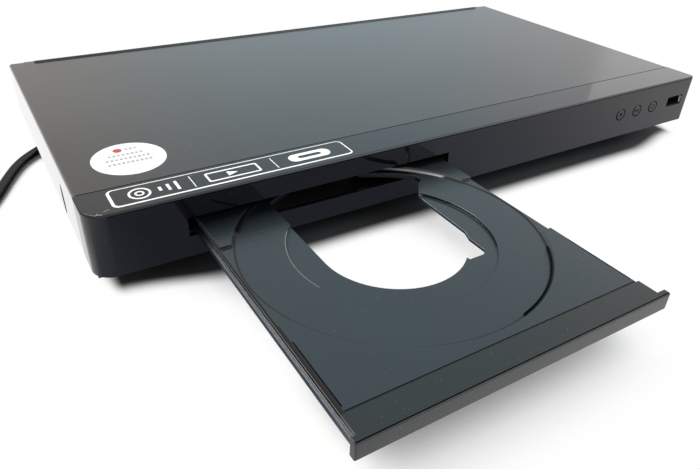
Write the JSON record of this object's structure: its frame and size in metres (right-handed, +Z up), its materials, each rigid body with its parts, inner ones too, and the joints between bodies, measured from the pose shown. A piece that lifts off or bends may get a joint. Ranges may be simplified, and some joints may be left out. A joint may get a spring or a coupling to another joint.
{
  "type": "slim disc player",
  "caption": "Slim disc player with its drawer out: steel cover, gloss front, geared drawer, tilting laser traverse, clamper, sprung buttons and a coiled power cord.",
  "frame": {"origin": "on the table under the middle of the object's box with its drawer out and without the cord: midway across the cabinet, and midway from the drawer's front to the back of the rear sockets", "axes": "+X to the right seen from the front, along the cabinet's width; +Y from the front to the rear; +Z up"},
  "size_m": [0.5039, 0.3782, 0.0359],
  "materials": {
    "cover_steel": "satin dark grey powder coat",
    "black_gloss": "polished black moulding",
    "black_plastic": "fine matt moulding",
    "tray_plastic": "fine matt slate moulding",
    "door_plastic": "polished grey moulding",
    "zinc_steel": "zinc-coated sheet",
    "bright_steel": "ground and plated",
    "dark_screw": "black screw finish",
    "white_plastic": "natural acetal",
    "grey_rubber": "moulded rubber",
    "board_green": "solder mask",
    "aluminium": "extruded",
    "copper_wound": "taped winding",
    "can_black": "sleeved can",
    "lens_glass": "coated lens",
    "magnet_dark": "plated ferrite",
    "pin_brass": "nickel-plated brass"
  },
  "bodies": {
    "cabinet": {"top_cover": "cover_steel", "bottom_chassis": "zinc_steel", "front_panel": "black_gloss", "feet": "grey_rubber", "key_board": "board_green", "key_switches": "black_plastic", "usb_socket": "zinc_steel", "usb_stand": "black_plastic", "drive_belt": "grey_rubber", "loader_motor": "zinc_steel", "loader_base": "black_plastic", "loader_dampers": "grey_rubber", "loader_screws": "dark_screw", "clamp_bridge": "zinc_steel", "main_board": "board_green", "power_board": "board_green", "main_heatsink": "aluminium", "transformer": "copper_wound", "mains_capacitor": "can_black", "hdmi_socket": "zinc_steel", "av_sockets": "black_plastic", "loader_ribbon": "white_plastic", "board_screws": "bright_steel", "rear_screws": "dark_screw", "cord_gland": "grey_rubber", "mains_lead": "black_plastic", "power_cord": "black_plastic", "cord_coil": "black_plastic", "cord_tail": "black_plastic", "plug": "black_plastic", "plug_pins": "pin_brass"},
    "drawer": {"tray": "tray_plastic", "tray_door": "door_plastic"},
    "drive_gear": {"drive_gear": "white_plastic"},
    "pulley_gear": {"pulley_gear": "white_plastic"},
    "motor_pulley": {"motor_pulley": "white_plastic"},
    "cam_slider": {"cam_slider": "white_plastic"},
    "traverse": {"traverse_frame": "black_plastic", "spindle_motor": "zinc_steel", "guide_rods": "bright_steel", "sled_motor": "zinc_steel"},
    "turntable": {"turntable": "black_plastic"},
    "lead_screw": {"lead_screw": "bright_steel"},
    "laser_sled": {"laser_sled": "aluminium", "lens": "lens_glass"},
    "clamper": {"clamper": "white_plastic", "clamp_magnet": "magnet_dark"},
    "eject_button": {"eject_button": "black_gloss"},
    "play_button": {"play_button": "black_gloss"},
    "power_button": {"power_button": "black_gloss"}
  },
  "joints": [
    {"name": "tray_slide", "type": "slide", "parent": "cabinet", "child": "drawer", "axis": [0, 1, 0], "range_m": [0, 0.1235]},
    {"name": "drive_gear_spin", "type": "hinge", "parent": "cabinet", "child": "drive_gear", "pos_m": [-0.1213, -0.011, 0.015], "axis": [0, 0, 1], "range_deg": [-885.5, 0]},
    {"name": "pulley_gear_spin", "type": "hinge", "parent": "cabinet", "child": "pulley_gear", "pos_m": [-0.1013, -0.011, 0.015], "axis": [0, 0, 1], "range_deg": [0, 2064.8]},
    {"name": "motor_pulley_spin", "type": "hinge", "parent": "cabinet", "child": "motor_pulley", "pos_m": [-0.0573, -0.011, 0.015], "axis": [0, 0, 1], "range_deg": [0, 6530.9]},
    {"name": "traverse_tilt", "type": "hinge", "parent": "cabinet", "child": "traverse", "pos_m": [-0.0773, 0.124, 0.0155], "axis": [-1, 0, 0], "range_deg": [0, 3.5]},
    {"name": "cam_slide", "type": "slide", "parent": "cabinet", "child": "cam_slider", "axis": [1, 0, 0], "range_m": [0, 0.01801]},
    {"name": "turntable_spin", "type": "hinge", "parent": "traverse", "child": "turntable", "pos_m": [-0.0773, 0.03886, 0.01681], "axis": [0, -0.061, 0.9981], "continuous": true},
    {"name": "sled_slide", "type": "slide", "parent": "traverse", "child": "laser_sled", "axis": [0, 0.9981, 0.061], "range_m": [0, 0.035]},
    {"name": "lead_screw_spin", "type": "hinge", "parent": "traverse", "child": "lead_screw", "pos_m": [-0.0463, 0.07924, 0.01186], "axis": [0, 0.9981, 0.061], "range_deg": [0, 4201]},
    {"name": "clamper_spin", "type": "hinge", "parent": "cabinet", "child": "clamper", "pos_m": [-0.0773, 0.0391, 0.027], "axis": [0, 0, 1], "continuous": true},
    {"name": "eject_press", "type": "slide", "parent": "cabinet", "child": "eject_button", "axis": [0, 1, 0], "range_m": [0, 0.0008], "stiffness_N_per_m": 500},
    {"name": "play_press", "type": "slide", "parent": "cabinet", "child": "play_button", "axis": [0, 1, 0], "range_m": [0, 0.0008], "stiffness_N_per_m": 500},
    {"name": "power_press", "type": "slide", "parent": "cabinet", "child": "power_button", "axis": [0, 1, 0], "range_m": [0, 0.0008], "stiffness_N_per_m": 500}
  ],
  "couplings": [
    {"joint": "drive_gear_spin", "follows": "tray_slide", "rad_per_m": -125},
    {"joint": "pulley_gear_spin", "follows": "tray_slide", "rad_per_m": 291.67},
    {"joint": "motor_pulley_spin", "follows": "tray_slide", "rad_per_m": 922.81},
    {"joint": "cam_slide", "follows": "traverse_tilt", "m_per_rad": 0.29466},
    {"joint": "lead_screw_spin", "follows": "sled_slide", "rad_per_m": 2094.4}
  ]
}
